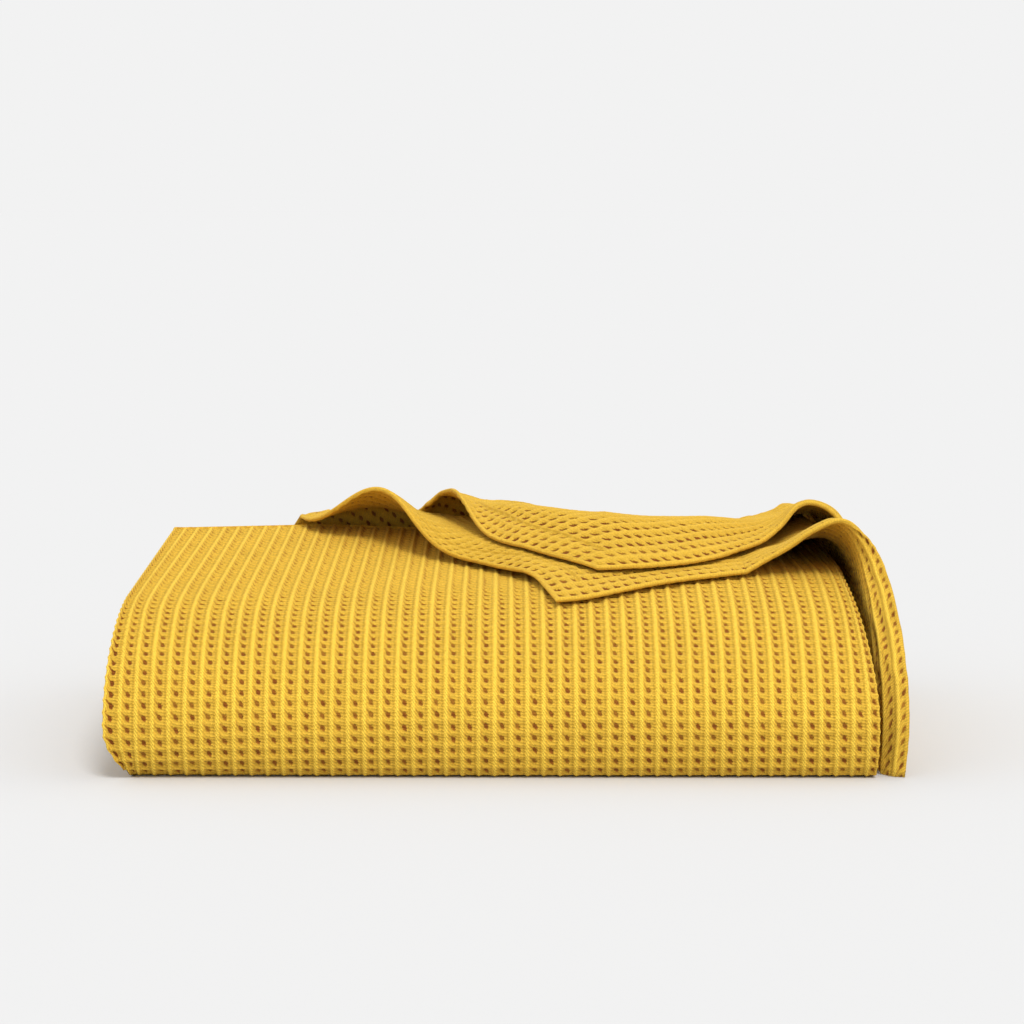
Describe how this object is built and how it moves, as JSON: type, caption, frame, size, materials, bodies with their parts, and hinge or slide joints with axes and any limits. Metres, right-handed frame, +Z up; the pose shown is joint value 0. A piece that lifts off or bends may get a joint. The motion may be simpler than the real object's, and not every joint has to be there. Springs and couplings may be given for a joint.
{
  "type": "folded waffle weave cotton blanket",
  "caption": "Waffle weave cotton blanket folded into a low pile, with a rounded fold at the front and two hemmed corners laid loosely over its top and right side.",
  "frame": {"origin": "middle of the folded blanket's footprint, on the surface it lies on", "axes": "+X to the right seen from the front fold, +Y to the back of the pile, +Z up"},
  "size_m": [0.4534, 0.319, 0.1402],
  "materials": {
    "cotton": "matt, napped"
  },
  "bodies": {
    "root": {"blanket": "cotton"}
  },
  "joints": []
}
